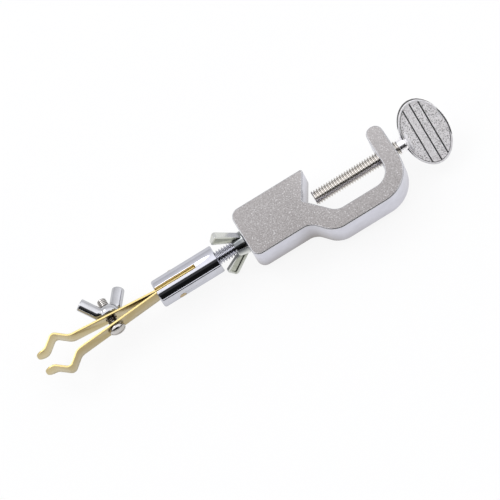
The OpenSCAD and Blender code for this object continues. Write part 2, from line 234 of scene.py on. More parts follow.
def threaded(name, diameter, pitch, length, chamfer, steps=36):
    """A right-handed threaded rod standing on Z, with a chamfer at both ends."""
    crest, root = diameter / 2 * MM, (diameter / 2 - TOOTH_DEPTH * pitch) * MM
    turns = math.ceil(length / pitch) + 3
    tooth = [(root, 0), (root, 0.12), (crest, 0.38), (crest, 0.60), (root, 0.86), (root, 1)]
    piece = outline(name, [(r, (share - 1.5) * pitch * MM) for r, share in tooth])
    modify(piece, "SCREW", axis="Z", angle=2 * math.pi, screw_offset=pitch * MM,
           iterations=turns, steps=steps, render_steps=steps, use_merge_vertices=True)
    enter(piece)
    bpy.ops.mesh.select_all(action="SELECT")
    bpy.ops.mesh.fill_holes(sides=0)
    leave()
    merge_and_face_out(piece)
    over = diameter / 2 + BLANK_SPARE
    blank = turned(name + "_blank", [
        (0, 0), (over - chamfer, 0), (over, chamfer),
        (over, length - chamfer), (over - chamfer, length), (0, length)])
    combine(piece, blank, "INTERSECT")
    merge_and_face_out(piece)
    return piece


print("thread cutter ready")

# %% [markdown]
# ## The casting
#
# The body is a die casting with one outline all through. Its two flats are ground on a
# belt and its side walls are only tumbled and plated. A copy of the CAD solid would do,
# but the outline given here can follow the photograph's softer elbow and rounder end
# corners. So its corners are extruded one after the other, filled, raised to the full
# thickness, and each upright edge is rounded with its own radius.

# %% Casting: the outline, raised and rounded
CASTING_T, BLOCK_END, BLOCK_HALF, BAR_OUT, THROAT, ARM_TOP = 16, -29.4, 11.8, -20.7, 37.5, 11.6
# Each corner has its place in X and Y and the radius of its round, in mm.
CORNERS = [(BLOCK_END, -BLOCK_HALF, 3.8), (-2.4, -BLOCK_HALF, 6), (5.2, BAR_OUT, 9.5),
           (45.6, BAR_OUT, 15), (45, ARM_TOP, 3.6), (THROAT, ARM_TOP, 3.6),
           (THROAT, -12.7, 7.5), (10.6, -12.7, 6), (0, -0.9, 0.5), (7.5, BLOCK_HALF, 1),
           (BLOCK_END, BLOCK_HALF, 4.2)]
casting = outline("ground_casting", [(x * MM, y * MM) for x, y, _ in CORNERS])
enter(casting)
bpy.ops.mesh.select_all(action="SELECT")
bpy.ops.mesh.edge_face_add()
bpy.ops.mesh.extrude_region_move(TRANSFORM_OT_translate={"value": (0, CASTING_T * MM, 0)})
leave()
place(casting, Matrix.Translation((0, 0, CASTING_T / 2 * MM)) @ turn(-90, "X"))
merge_and_face_out(casting)
for i, (x, y, radius) in enumerate(CORNERS):
    before, after = CORNERS[i - 1], CORNERS[(i + 1) % len(CORNERS)]
    bend = Vector((x - before[0], y - before[1])).angle(Vector((after[0] - x, after[1] - y)))
    enter(casting)
    pick(casting, "EDGE", lambda at, e: abs(at.x - x * MM) < 1e-6 and abs(at.y - y * MM) < 1e-6
         and abs(at.z) < 1e-6)
    bpy.ops.mesh.bevel(offset_type="ABSOLUTE", offset=radius * math.tan(bend / 2) * MM,
                       segments=max(4, round(bend * radius)), profile=0.5, clamp_overlap=False)
    leave()
report(casting)

# %% Casting: two threaded holes and broken edges
ARM_HOLE, STUD_HOLE = (37, 10, 3.4), (-29.6, 13.7, 3.235)    # start in X, depth and radius
EDGE_ROUND = 0.55
for x, depth, radius in (ARM_HOLE, STUD_HOLE):
    bore = start("bore", bpy.ops.mesh.primitive_cylinder_add, vertices=48, radius=radius * MM,
                 depth=depth * MM, rotation=(0, math.radians(90), 0),
                 location=((x + depth / 2) * MM, 0, 0))
    combine(casting, bore, "DIFFERENCE")
enter(casting)
pick(casting, "EDGE", lambda at, e: abs(abs(at.z) - CASTING_T / 2 * MM) < 1e-6
     and e.calc_face_angle(0) > 1)
bpy.ops.mesh.bevel(offset=EDGE_ROUND * MM, segments=4, profile=0.5, clamp_overlap=False)
leave()
merge_and_face_out(casting)
smooth(casting, 35, flat_faces=True)
report(casting)

# %% [markdown]
# ## The clamp screw
#
# A 1/4 inch screw with 20 threads to the inch, nickel plated. It could be a cylinder
# with a bump pattern, but its outline against the white shows every tooth, so the
# thread is real. Its crests measure 6.7 mm with the plating, a little over the nominal
# 6.35 mm that the stud has.

# %% Clamp screw
SCREW_CREST, SCREW_PITCH, SCREW_TIP, SCREW_END, SCREW_CHAMFER = 6.7, 1.27, 5.1, 47.1, 0.3
clamp_screw = threaded("clamp_thread", SCREW_CREST, SCREW_PITCH, SCREW_END - SCREW_TIP,
                       SCREW_CHAMFER)
place(clamp_screw, Matrix.Translation((SCREW_TIP * MM, 0, 0)) @ turn(90, "Y"))
smooth(clamp_screw, 30)
report(clamp_screw)

# %% [markdown]
# ## The thumb head
#
# A cast oval with a raised bright rim. Inside the rim the field is sunk, stippled, and
# crossed by three grooves for the fingers. It flows into a round neck. A casting has no
# sharp inner corner anywhere, so the oval, the neck and the tongue are united, remeshed
# as one skin and relaxed, which leaves every corner with a small round.

# %% Thumb head: the oval plate with its sunk fields
HEAD_MID, HEAD_A, HEAD_B, HEAD_T, HEAD_TURN = 60.3, 10.5, 15, 4.8, 33
RIM, RIM_EASE, RIM_SLOPE, SUNK = 0.9, 0.15, 0.25, 0.5
thumb_head = start("thumb_oval", bpy.ops.mesh.primitive_cylinder_add, vertices=128,
                   radius=HEAD_A * MM, depth=HEAD_T * MM, end_fill_type="NGON")
enter(thumb_head)
bpy.ops.mesh.select_all(action="SELECT")
bpy.ops.transform.resize(value=(1, HEAD_B / HEAD_A, 1))
pick(thumb_head, "FACE", lambda at, f: abs(f.normal.z) > 0.9)
bpy.ops.mesh.inset(thickness=(RIM - RIM_EASE) * MM)
bpy.ops.mesh.inset(thickness=RIM_SLOPE * MM, depth=-SUNK * MM)
leave()
place(thumb_head, Matrix.Translation((HEAD_MID * MM, 0, 0)))
report(thumb_head)

# %% Thumb head: three grooves in each field
GROOVE_W, GROOVE_DEPTH, GROOVE_PITCH = 0.6, 0.5, 3.85
for side in (-1, 1):
    for row in (-1, 0, 1):
        along = row * GROOVE_PITCH
        reach = (HEAD_B - RIM) * math.sqrt(1 - (along / (HEAD_A - RIM)) ** 2) + RIM_EASE
        groove = start("groove", bpy.ops.mesh.primitive_cube_add, size=2 * MM,
                       location=((HEAD_MID + along) * MM, 0, side * (HEAD_T / 2 - SUNK) * MM))
        enter(groove)
        bpy.ops.mesh.select_all(action="SELECT")
        bpy.ops.transform.resize(value=(GROOVE_W / 2, reach, GROOVE_DEPTH),
                                 center_override=((HEAD_MID + along) * MM, 0,
                                                  side * (HEAD_T / 2 - SUNK) * MM))
        combine(thumb_head, groove, "DIFFERENCE")
report(thumb_head)

# %% Thumb head: the neck, its tongue and its fillets
NECK_START, NECK_D, NECK_LEN, NECK_FADE = 47.2, 6.4, 3.1, (1.8, 5.9)
SPIGOT_D, SPIGOT_LEN, WEB_START, WEB_FLAT, HEAD_VOXEL = 3.12, 6, 1.5, 0.42, 0.17
neck = turned("neck", [(0, 0), (NECK_D / 2, 0), (NECK_D / 2, NECK_LEN), NECK_FADE,
                       (0, NECK_FADE[1])])
place(neck, Matrix.Translation((NECK_START * MM, 0, 0)) @ turn(90, "Y"))
combine(thumb_head, neck, "UNION")
web = turned("web", [(0, 0), (3.1, 0), (3.6, 1.1), (4.5, 2.2), (6.5, 3.2), (6.5, 4), (0, 4)])
place(web, Matrix.Translation(((NECK_START + WEB_START) * MM, 0, 0))
      @ Matrix.Diagonal((1, 1, WEB_FLAT, 1)) @ turn(90, "Y"))
combine(thumb_head, web, "UNION")
modify(thumb_head, "REMESH", mode="VOXEL", voxel_size=HEAD_VOXEL * MM)
modify(thumb_head, "SMOOTH", factor=0.5, iterations=5)
hole = turned("hole", [(0, -1), (SPIGOT_D / 2, -1), (SPIGOT_D / 2, SPIGOT_LEN),
                       (0, SPIGOT_LEN)])
place(hole, Matrix.Translation((NECK_START * MM, 0, 0)) @ turn(90, "Y"))
combine(thumb_head, hole, "DIFFERENCE")
place(thumb_head, turn(HEAD_TURN, "X"))
smooth(thumb_head, 45)
report(thumb_head)

# %% [markdown]
# ## The swivel rod
#
# A half-inch rod, bright chromium plated. A threaded stud at one end screws into the
# casting, and a saw cut at the other takes the two strips. The rod is turned, its slot
# is cut as a saw would cut it, and the slot's lips get the thin round that polishing
# leaves. The stud is a thread of its own, joined to the rod.

# %% Swivel rod
ROD_R, ROD_LEN, MOUTH_X, SHOULDER_X, ROD_CHAMFER, MOUTH_R = 6.35, 29.8, -73.2, -43.4, 0.4, 1
SLOT_W, SLOT_DEPTH, PIN_X, PIN_D, PIN_FIT = 1.96, 20, -63.9, 3.2, 0.02
mouth_round = [(ROD_R - MOUTH_R + MOUTH_R * math.sin(a), MOUTH_R - MOUTH_R * math.cos(a))
               for a in (math.radians(15 * i) for i in range(7))]
rod = turned("chromed_rod", [(0, 0), *mouth_round, (ROD_R, ROD_LEN - ROD_CHAMFER),
                             (ROD_R - ROD_CHAMFER, ROD_LEN), (0, ROD_LEN)], steps=96)
place(rod, Matrix.Translation((MOUTH_X * MM, 0, 0)) @ turn(90, "Y"))
slot = start("saw_cut", bpy.ops.mesh.primitive_cube_add, size=2 * MM)
enter(slot)
bpy.ops.mesh.select_all(action="SELECT")
bpy.ops.transform.resize(value=(SLOT_DEPTH, SLOT_W / 2, ROD_R + 1))
place(slot, Matrix.Translation((MOUTH_X * MM, 0, 0)))
combine(rod, slot, "DIFFERENCE")
drill = turned("drill", [(0, -9), (PIN_D / 2 + PIN_FIT, -9), (PIN_D / 2 + PIN_FIT, 9), (0, 9)])
place(drill, Matrix.Translation((PIN_X * MM, 0, 0)) @ turn(-90, "X"))
combine(rod, drill, "DIFFERENCE")
soften(rod, 0.12 * MM, segments=2, angle=50)
report(rod)

# %% Stud
STUD_D, STUD_IN, STUD_SUNK, STUD_CHAMFER = 6.35, 12, 0.5, 0.5
stud = threaded("stud", STUD_D, SCREW_PITCH, BLOCK_END - SHOULDER_X + STUD_IN + STUD_SUNK,
                STUD_CHAMFER)
place(stud, Matrix.Translation(((SHOULDER_X - STUD_SUNK) * MM, 0, 0)) @ turn(90, "Y"))
only(rod)
stud.select_set(True)
bpy.ops.object.join()
smooth(rod, 35)
report(rod)

# %% [markdown]
# ## The cross pin
#
# A brass rivet through the rod and both strips. One end is hammered over into a low
# dome and the other is filed flush with the rod.

# %% Cross pin
DOME_SEAT, DOME_H, FILED_END, FILED_CHAMFER = 6.2, 0.45, -6.15, 0.1
dome = [(PIN_D / 2 * math.cos(a), DOME_SEAT + DOME_H * math.sin(a))
        for a in (math.radians(18 * i) for i in range(5))]
pin = turned("cross_rivet", [(0, FILED_END), (PIN_D / 2 - FILED_CHAMFER, FILED_END),
                             (PIN_D / 2, FILED_END + FILED_CHAMFER),
                             *dome, (0, DOME_SEAT + DOME_H)], steps=40)
place(pin, Matrix.Translation((PIN_X * MM, 0, 0)) @ turn(-90, "X"))
smooth(pin, 40)
report(pin)

# %% [markdown]
# ## The swivel wing nut
#
# A forged nut that locks the stud in the casting. Each wing is a flat blade, thick
# along its outer edge and thin along its inner edge, with a recess pressed into both
# sides. A blade is a six-sided face set out point by point, extruded and tapered, and
# the boss is turned.

# %% Swivel wing nut: one blade
# Outlines hold the distance from the axis and the height over the seat, in mm.
BLADE = [(3.7, 0.9), (5.2, 0.9), (13.4, 10.1), (9.5, 13.6), (4.75, 6.6), (3.7, 5.2)]
BLADE_T, BLADE_THIN, TIP_ROUND = 3.4, 1.4, 1.3
RECESS = [(5.3, 3.1), (11.6, 10.2), (9.2, 12.4), (8, 14), (2, 6.5), (3, 3.1)]
RECESS_HALF, PRESS_T = 0.95, 3


def prism(name, points, thickness):
    """A flat-sided block from points in the XZ plane, half on each side of the plane."""
    piece = outline(name, [(x * MM, z * MM) for x, z in points])
    enter(piece)
    bpy.ops.mesh.select_all(action="SELECT")
    bpy.ops.mesh.edge_face_add()
    bpy.ops.mesh.extrude_region_move(TRANSFORM_OT_translate={"value": (0, thickness * MM, 0)})
    leave()
    place(piece, Matrix.Translation((0, -thickness / 2 * MM, 0)))
    merge_and_face_out(piece)
    return piece


def blade(name):
    """One wing of the nut in the XZ plane, pointing along +X and up."""
    piece = start(name, bpy.ops.mesh.primitive_circle_add, vertices=len(BLADE),
                  radius=MM, fill_type="NGON")
    enter(piece)
    for index, (r, h) in enumerate(BLADE):
        pick(piece, "VERT", lambda at, v: v.index == index)
        here = bmesh.from_edit_mesh(piece.data).verts[:][index].co
        goal = Vector((r, -BLADE_T / 2, h)) * MM
        bpy.ops.transform.translate(value=goal - here)
    bpy.ops.mesh.select_all(action="SELECT")
    bpy.ops.mesh.extrude_region_move(TRANSFORM_OT_translate={"value": (0, BLADE_T * MM, 0)})
    thin_side = [Vector((r, 0, h)) * MM for r, h in BLADE[3:]]
    pick(piece, "VERT", lambda at, v: any(abs(at.x - t.x) + abs(at.z - t.z) < 0.1 * MM
                                          for t in thin_side))
    bpy.ops.transform.resize(value=(1, BLADE_THIN / BLADE_T, 1), center_override=(0, 0, 0))
    leave()
    merge_and_face_out(piece)
    enter(piece)
    pick(piece, "EDGE", lambda at, e: abs(at.y) < 1e-6 and at.x > 7 * MM)
    bpy.ops.mesh.bevel(offset=TIP_ROUND * MM, segments=5, profile=0.5)
    leave()
    for side in (-1, 1):
        press = prism("press", RECESS, PRESS_T)
        place(press, Matrix.Translation((0, side * (PRESS_T / 2 + RECESS_HALF) * MM, 0)))
        combine(piece, press, "DIFFERENCE")
    soften(piece, 0.2 * MM, segments=2, angle=25)
    return piece


# %% Swivel wing nut: boss, blades and hole
BOSS = [(0, 0), (4.9, 0), (5.2, 0.3), (4.45, 4.7), (4.1, 5.2), (0, 5.2)]
NUT_HOLE_R, NUT_SEAT, NUT_TURN = 3.25, -29.5, 66
swivel_nut = turned("forged_wing_nut", BOSS, steps=48)
for half_turn in (0, 180):
    wing = blade("wing")
    place(wing, turn(half_turn, "Z"))
    combine(swivel_nut, wing, "UNION")
tap = turned("tap", [(0, -1), (NUT_HOLE_R, -1), (NUT_HOLE_R, 15), (0, 15)], steps=48)
combine(swivel_nut, tap, "DIFFERENCE")
place(swivel_nut, Matrix.Translation((NUT_SEAT * MM, 0, 0)) @ turn(NUT_TURN, "X")
      @ turn(-90, "Y") @ turn(90, "Z"))
smooth(swivel_nut, 25, flat_faces=True)
report(swivel_nut)

# %% [markdown]
# ## The brass strips
#
# Each jaw is one ribbon of spring brass, sheared, bent three times, drilled twice and
# rounded at its tip. It is modelled as it is made: an edge is extruded along the bends,
# the creases are rounded, the ribbon gets its thickness, and then it is trimmed and
# drilled. It has many short lengths just outside the rod, because that is where it
# bends when the jaws close.

# %% Brass strip: the bent ribbon
STRIP_T, STRIP_W, STRIP_FIT, STRIP_ROOT, NECK_OUT, NECK_HALF = 0.9, 9.0, 0.04, 19.6, 41.5, 3.35
SPLAY = math.atan2(NECK_HALF - STRIP_FIT, NECK_OUT)
# Distance from the rod's mouth: half of the gap between the strips, and the bend's radius.
BENDS = {NECK_OUT: (NECK_HALF, 4.9), 47.4: (8.4, 1.7), 53.0: (3.7, 3.9)}
STRIP_END, STRIP_END_R, STRIP_HOLE_FIT = (57.8, 3.6), 3.8, 0.9


def ribbon(name):
    """The inner face of the upper strip, bent as the strip is, from its root to its tip."""
    near = [(-STRIP_ROOT, STRIP_FIT), (-1, STRIP_FIT), (0.12, STRIP_FIT)]
    near += [(d, STRIP_FIT + d * math.tan(SPLAY)) for d in (1.5, 3, 4.5, 6, 7.5, 9, 10.5, 12)]
    path = near + [(d, half) for d, (half, _) in BENDS.items()] + [STRIP_END]
    piece = start(name, bpy.ops.mesh.primitive_plane_add, size=STRIP_W * MM,
                  rotation=(0, math.radians(90), 0))
    enter(piece)
    pick(piece, "VERT", lambda at, v: at.y > 0)
    bpy.ops.mesh.delete(type="VERT")
    bpy.ops.mesh.select_all(action="SELECT")
    goal = Vector((MOUTH_X - path[0][0], path[0][1], 0)) * MM
    bpy.ops.transform.translate(value=goal - Vector((0, -STRIP_W / 2 * MM, 0)))
    for d, half in path[1:]:
        step = Vector((MOUTH_X - d, half, 0)) * MM - goal
        bpy.ops.mesh.extrude_region_move(TRANSFORM_OT_translate={"value": step})
        goal += step
    leave()
    return piece


# %% Brass strip: creases, thickness, tip and holes
def round_the_bends(piece):
    """Turns each sharp crease into an arc, by the length that its radius takes up."""
    path = [(0.12, STRIP_FIT)] + [(d, half) for d, (half, _) in BENDS.items()] + [STRIP_END]
    enter(piece)
    for i, (d, (half, radius)) in enumerate(BENDS.items(), 1):
        before = math.atan2(path[i][1] - path[i - 1][1], path[i][0] - path[i - 1][0])
        after = math.atan2(path[i + 1][1] - path[i][1], path[i + 1][0] - path[i][0])
        reach = radius * math.tan(abs(after - before) / 2)
        pick(piece, "EDGE", lambda at, e: abs(at.x - (MOUTH_X - d) * MM) < 0.01 * MM
             and abs(at.z) < 0.01 * MM and len(e.link_faces) == 2)
        bpy.ops.mesh.bevel(offset_type="ABSOLUTE", offset=reach * MM, segments=10,
                           profile=0.5, clamp_overlap=False)
    leave()


def trim(piece):
    """Rounds the tip with a cutter that has round corners, then drills two holes."""
    cutter = start("trim", bpy.ops.mesh.primitive_cube_add, size=2 * MM)
    enter(cutter)
    bpy.ops.mesh.select_all(action="SELECT")
    bpy.ops.transform.resize(value=(60, 30, STRIP_W / 2 + 0.001), center_override=(0, 0, 0))
    end_x = MOUTH_X - STRIP_END[0]
    bpy.ops.transform.translate(value=((end_x + 60) * MM, 0, 0))
    pick(cutter, "EDGE", lambda at, e: at.x < end_x * MM + 0.01 * MM
         and abs(e.verts[0].co.y - e.verts[1].co.y) > MM)
    bpy.ops.mesh.bevel(offset=STRIP_END_R * MM, segments=12, profile=0.5)
    leave()
    combine(piece, cutter, "INTERSECT")
    for x, pin_d in ((PIN_X, PIN_D), (JAW_SCREW_X, JAW_SCREW_D)):
        hole_r = (pin_d + STRIP_HOLE_FIT) / 2
        punch = turned("punch", [(0, -1), (hole_r, -1), (hole_r, 9), (0, 9)], steps=40)
        place(punch, Matrix.Translation((x * MM, 0, 0)) @ turn(-90, "X"))
        combine(piece, punch, "DIFFERENCE")


JAW_SCREW_OUT, JAW_SCREW_D, JAW_PITCH = 22.2, 4.17, 0.794
JAW_SCREW_X = MOUTH_X - JAW_SCREW_OUT
upper_strip = ribbon("upper_spring_strip")
round_the_bends(upper_strip)
modify(upper_strip, "SOLIDIFY", thickness=STRIP_T * MM, offset=1, use_even_offset=True)
merge_and_face_out(upper_strip)
report(upper_strip)
trim(upper_strip)
soften(upper_strip, 0.15 * MM, segments=2, angle=60)
smooth(upper_strip, 40)
report(upper_strip)

# %% Brass strip: the mirrored lower one
only(upper_strip)
bpy.ops.object.duplicate()
lower_strip = bpy.context.active_object
lower_strip.name = lower_strip.data.name = "lower_spring_strip"
place(lower_strip, Matrix.Diagonal((1, -1, 1, 1)))
merge_and_face_out(lower_strip)
smooth(lower_strip, 40)
report(lower_strip)

# %% [markdown]
# ## The jaw screw and its wing nut
#
# A small machine screw with a slotted, domed head draws the strips together. Its nut is
# cast with two round horns and chromed all over, so its corners are soft. Boss and
# horns are united, remeshed as one skin and relaxed, like the thumb head.

# %% Jaw screw
JAW_NUT_R, JAW_HEAD_R, HEAD_EDGE, HEAD_RISE, HEAD_CHAMFER, SEAT_GAP = 4.3, 3.7, 0.7, 2, 0.15, 0.1
JAW_THREAD_LEN, THREAD_SUNK, DRIVER_W, DRIVER_DEPTH = 14.8, 0.3, 1.1, 1.3
JAW_SEAT = STRIP_FIT + JAW_SCREW_OUT * math.tan(SPLAY) + STRIP_T / math.cos(SPLAY)
JAW_NUT_SEAT = JAW_SEAT + JAW_NUT_R * math.tan(SPLAY) + SEAT_GAP
JAW_HEAD_SEAT = JAW_SEAT + JAW_HEAD_R * math.tan(SPLAY) + SEAT_GAP
head_top = -HEAD_EDGE - HEAD_RISE
head_dome = [(JAW_HEAD_R * math.cos(a), -HEAD_EDGE - HEAD_RISE * math.sin(a))
             for a in (math.radians(90 - 10 * i) for i in range(1, 10))]
screw_head = turned("domed_jaw_screw", [(0, head_top), *head_dome, (JAW_HEAD_R, -HEAD_CHAMFER),
                                        (JAW_HEAD_R - HEAD_CHAMFER, 0), (0, 0)], steps=48)
driver = start("driver_slot", bpy.ops.mesh.primitive_cube_add, size=2 * MM)
enter(driver)
bpy.ops.mesh.select_all(action="SELECT")
bpy.ops.transform.resize(value=(6, DRIVER_W / 2, DRIVER_DEPTH), center_override=(0, 0, 0))
bpy.ops.transform.translate(value=(0, 0, head_top * MM))
combine(screw_head, driver, "DIFFERENCE")
soften(screw_head, 0.1 * MM, segments=2, angle=50)
jaw_screw = threaded("jaw_thread", JAW_SCREW_D, JAW_PITCH, JAW_THREAD_LEN, 0.45, steps=28)
place(jaw_screw, Matrix.Translation((0, 0, -THREAD_SUNK * MM)))
only(screw_head)
jaw_screw.select_set(True)
bpy.ops.object.join()
jaw_screw = screw_head
place(jaw_screw, Matrix.Translation((JAW_SCREW_X * MM, -JAW_HEAD_SEAT * MM, 0)) @ turn(-90, "X"))
smooth(jaw_screw, 35)
report(jaw_screw)

# %% Jaw wing nut
HORN_R, HORN_RISE, HORN_TIP, HORN_CHAMFER = 2.75, 53, (9.7, 10.1), 0.25
JAW_NUT_TURN, JAW_HOLE_R, NUT_VOXEL = 27, 2.15, 0.16
jaw_nut = turned("horned_wing_nut", [(0, 0), (4.1, 0), (4.5, 0.6), (4.6, 1.6), (4.4, 2.6),
                                     (3.6, 3.8), (2.6, 4.6), (0, 4.8)], steps=48)
horn_len = (HORN_TIP[1] - HORN_R - 0.2) / math.sin(math.radians(HORN_RISE))
horn_profile = [(HORN_R * math.sin(a), -HORN_R * math.cos(a))
                for a in (math.radians(15 * i) for i in range(7))]
for half_turn in (0, 180):
    horn = turned("horn", [*horn_profile, (HORN_R, horn_len - HORN_CHAMFER),
                           (HORN_R - HORN_CHAMFER, horn_len), (0, horn_len)], steps=40)
    place(horn, turn(half_turn, "Z") @ Matrix.Translation((HORN_TIP[0] * MM, 0, HORN_TIP[1] * MM))
          @ turn(90 - HORN_RISE, "Y") @ Matrix.Translation((0, 0, -horn_len * MM)))
    combine(jaw_nut, horn, "UNION")
modify(jaw_nut, "REMESH", mode="VOXEL", voxel_size=NUT_VOXEL * MM)
modify(jaw_nut, "SMOOTH", factor=0.5, iterations=22)
tap = turned("tap", [(0, -1), (JAW_HOLE_R, -1), (JAW_HOLE_R, 15), (0, 15)], steps=40)
combine(jaw_nut, tap, "DIFFERENCE")
place(jaw_nut, Matrix.Translation((JAW_SCREW_X * MM, JAW_NUT_SEAT * MM, 0))
      @ turn(JAW_NUT_TURN, "Y") @ turn(-90, "X"))
smooth(jaw_nut, 45)
report(jaw_nut)

# %% [markdown]
# ## Finishes
#
# Each metal is a small network of nodes. The arithmetic is written as plain Python: a
# socket is wrapped so that `mask * 0.5 + 0.2` adds the Math nodes by itself. Patterns
# read Object coordinates in metres, so a grain is as large as it is on the real metal.

# %% Shader arithmetic
class Wire:
    """One output of a node, with arithmetic that adds Math nodes."""

    def __init__(self, tree, out):
        self.tree, self.out = tree, out

    def math(self, operation, *others):
        node = self.tree.nodes.new("ShaderNodeMath")
        node.operation = operation
        for socket, value in zip(node.inputs, (self, *others)):
            connect(self.tree, socket, value)
        return Wire(self.tree, node.outputs[0])

    def __add__(self, other):
        return self.math("ADD", other)

    def __sub__(self, other):
        return self.math("SUBTRACT", other)

    def __rsub__(self, other):
        return self * -1 + other

    def __mul__(self, other):
        return self.math("MULTIPLY", other)

    __radd__, __rmul__ = __add__, __mul__

    def above(self, low, high):
        """0 below low, 1 above high, and a ramp between them."""
        return ((self - low) * (1 / (high - low))).math("MAXIMUM", 0).math("MINIMUM", 1)


def connect(tree, socket, value):
    """Links a wire to a socket, or sets a plain value on it."""
    if isinstance(value, Wire):
        tree.links.new(value.out, socket)
    elif hasattr(value, "__len__") and len(value) == 3 and socket.type == "RGBA":
        socket.default_value = (*value, 1)
    else:
        socket.default_value = value


# %% A finish and its nodes
class Finish:
    """A material whose nodes are added one call at a time."""

    def __init__(self, name, slot, **constants):
        self.material = bpy.data.materials.new(name)
        self.material.use_nodes = True
        self.tree = self.material.node_tree
        self.shader = self.tree.nodes["Principled BSDF"]
        self.slot = slot
        for socket, value in constants.items():
            self.set(socket.replace("_", " "), value)

    def set(self, socket, value):
        connect(self.tree, self.shader.inputs[socket], value)

    def node(self, kind, sockets, output=0, **settings):
        """Adds any node: its settings first, then the values or links of its sockets."""
        node = self.tree.nodes.new("ShaderNode" + kind)
        for setting, value in settings.items():
            setattr(node, setting, value)
        for socket, value in sockets.items():
            connect(self.tree, node.inputs[socket], value)
        return Wire(self.tree, node.outputs[output])

    def coordinates(self, output="Object", turned_by=0):
        """Object coordinates, or normals, turned about X where a piece is turned."""
        place = self.node("TexCoord", {}, output)
        return self.node("Mapping", {0: place, "Rotation": (math.radians(turned_by), 0, 0)})

    def axis(self, place, letter):
        return self.node("SeparateXYZ", {0: place}, letter)

    def mm(self, place, letter):
        """One coordinate in millimetres."""
        return self.axis(place, letter) * (1 / MM)

    def from_x_axis(self, place):
        """The distance from the X axis in millimetres."""
        flattened = self.node("VectorMath", {0: place, 1: (0, 1, 1)}, operation="MULTIPLY")
        return self.node("VectorMath", {0: flattened}, 1, operation="LENGTH") * (1 / MM)

    def facing(self, letter):
        """How far the surface itself faces along an axis, from -1 to 1."""
        return self.axis(self.coordinates("Normal"), letter)

    def noise(self, place, size_mm, detail=3, roughness=0.5, stretch=(1, 1, 1)):
        scaled = self.node("Mapping", {0: place, "Scale": stretch})
        return self.node("TexNoise", {"Vector": scaled, "Scale": 1 / (size_mm * MM),
                                      "Detail": detail, "Roughness": roughness})

    def mix(self, share, low, high):
        """A colour between two colours."""
        return self.node("Mix", {0: share, 6: low, 7: high}, 2, data_type="RGBA")

    def bump(self, height, distance_mm, strength=1):
        self.set("Normal", self.node("Bump", {"Height": height, "Strength": strength,
                                              "Distance": distance_mm * MM}))

    def give(self, *pieces):
        for piece in pieces:
            piece.data.materials.clear()
            piece.data.materials.append(self.material)
        print(self.material.name, "on", [piece.name for piece in pieces])


# %% [markdown]
# ### The casting's two surfaces
#
# The ground flats are a warm mid grey, matt, with tiny bright flecks and a few longer
# scratches, and they are paler over the bar and the arm. The side walls are smoother,
# cooler and brighter. Painted shade darkens them towards the bottom and under the knee,
# where they would reflect the floor's shadow and dark surroundings. One material does
# both: the piece's own normal tells a flat, a broken edge and a wall apart.

# %% Ground and plated casting
ground = Finish("ground_and_plated_zinc", "casting", Metallic=1.0)
at = ground.coordinates()
up = ground.facing("Z").math("ABSOLUTE")
flat, broken = up.above(0.95, 0.99), up.above(0.08, 0.2)
cloud = ground.noise(at, 3.2, 4)
grain = ground.noise(at, 0.62, 2, 0.6)
fleck = ground.noise(at, 0.56, 2, 0.7).above(0.59, 0.66)
scratch = ground.noise(at, 0.9, 2, 0.5, (0.3, 2.2, 1)).above(0.66, 0.72) * cloud.above(0.47, 0.6)
arm = ground.mm(at, "Y").above(-22, 14)
over_arm = ground.mm(at, "X").above(-4, 8)
pale = arm * 0.35 + over_arm * (arm * 0.27 + 0.12)
hollow = ground.mix(pale, (0.22, 0.207, 0.203), (0.41, 0.392, 0.388))
crest = ground.mix(pale, (0.38, 0.362, 0.355), (0.55, 0.53, 0.525))
face = ground.mix(grain.above(0.3, 0.7), hollow, crest)
face = ground.mix(fleck * 0.7, face, (0.70, 0.69, 0.69))
face = ground.mix(scratch * 0.45, face, (0.76, 0.75, 0.75))
# Painted shade: the walls darken towards the bottom, most at the block, and in the knee, for the shadowed
# floor and dark surroundings that they reflect.
low = 1 - ground.mm(at, "Z").above(-9, 4)
behind = 1 - ground.mm(at, "X").above(-4, 34)
wall = ground.mix(cloud.above(0.3, 0.7), (0.60, 0.60, 0.67), (0.66, 0.66, 0.74))
PAINTED_WALL_SHADE = (0.20, 0.175, 0.155)
wall = ground.mix(low * (low * 0.5 + 0.35) * (behind * 0.7 + 0.3), wall, PAINTED_WALL_SHADE)
knee_shade = 1 - (ground.mm(at, "X") + 3).math("ABSOLUTE").above(1, 10)
wall = ground.mix(knee_shade * (low * 0.45 + 0.25), wall, PAINTED_WALL_SHADE)
wall = ground.mix(broken, wall, (0.56, 0.56, 0.58))
ground.set("Base Color", ground.mix(flat, wall, face))
ground.set("Roughness", 0.28 - broken * 0.10 + flat * 0.30 + flat * grain * 0.1)
ground.bump(grain * flat * 0.7 + cloud * 0.4, 0.05, 0.5)
ground.give(casting)

# %% [markdown]
# ### Nickel, chrome and zinc
#
# Painted shade darkens a plated thread at the root and on the flank that looks towards
# the tip. Painted light keeps its crown bright while its sides go grey, less so at the
# front. Chrome is almost clean, with faint smudges in its colour and gloss. It is
# missing in the saw cut, where the rod's brass is bare, and painted shade darkens the
# middle of the jaw screw between the strips. The forged nut is zinc plated and
# passivated: a grey with a hint of olive and a few rust specks, with a painted highlight
# on its ridges, painted shade in its creases and a painted dark reflection on its boss.

# %% Nickel-plated thread
nickel = Finish("nickelled_thread", "screw_steel", Metallic=1.0)
at = nickel.coordinates()
reach = nickel.from_x_axis(at)
root = 1 - reach.above(2.62, 2.85)
flank = (nickel.facing("X") * -1).above(0.3, 0.7)
grime = nickel.noise(at, 1.5, 4)
